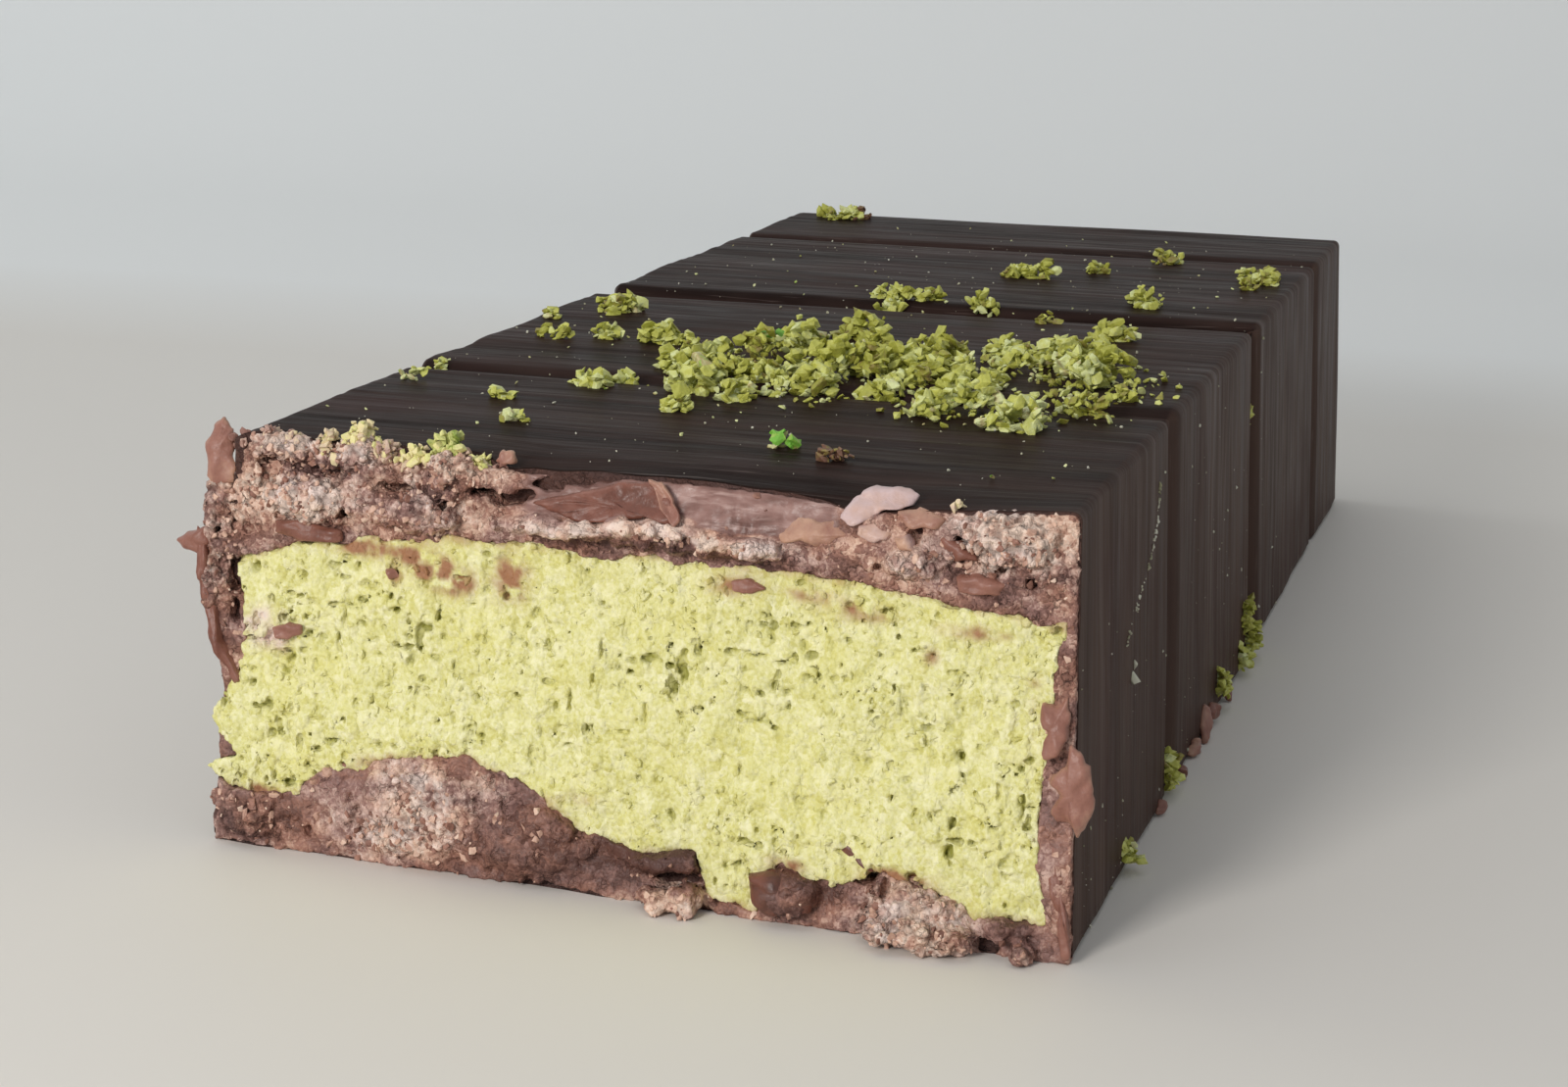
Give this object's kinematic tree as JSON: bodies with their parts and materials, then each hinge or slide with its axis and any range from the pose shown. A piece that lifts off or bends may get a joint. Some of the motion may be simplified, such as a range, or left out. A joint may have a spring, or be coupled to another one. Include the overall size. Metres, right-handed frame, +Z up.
{
  "type": "filled chocolate bar",
  "caption": "Moulded dark chocolate bar with a pistachio filling, cut across at one end, topped with chopped pistachio.",
  "frame": {"origin": "on the base, under the middle of the bar's bounding box", "axes": "+Z up, +Y along the bar away from the cut end, +X to the right when looking at the cut"},
  "size_m": [0.049, 0.1088, 0.0234],
  "materials": {
    "dark_chocolate": "glossy dark moulded chocolate, matt and paler brown where it is broken",
    "pistachio_filling": "matt crumbly pale yellow-green pistachio paste"
  },
  "bodies": {
    "root": {"chocolate_shell": "dark_chocolate", "pistachio_filling": "pistachio_filling"}
  },
  "joints": []
}
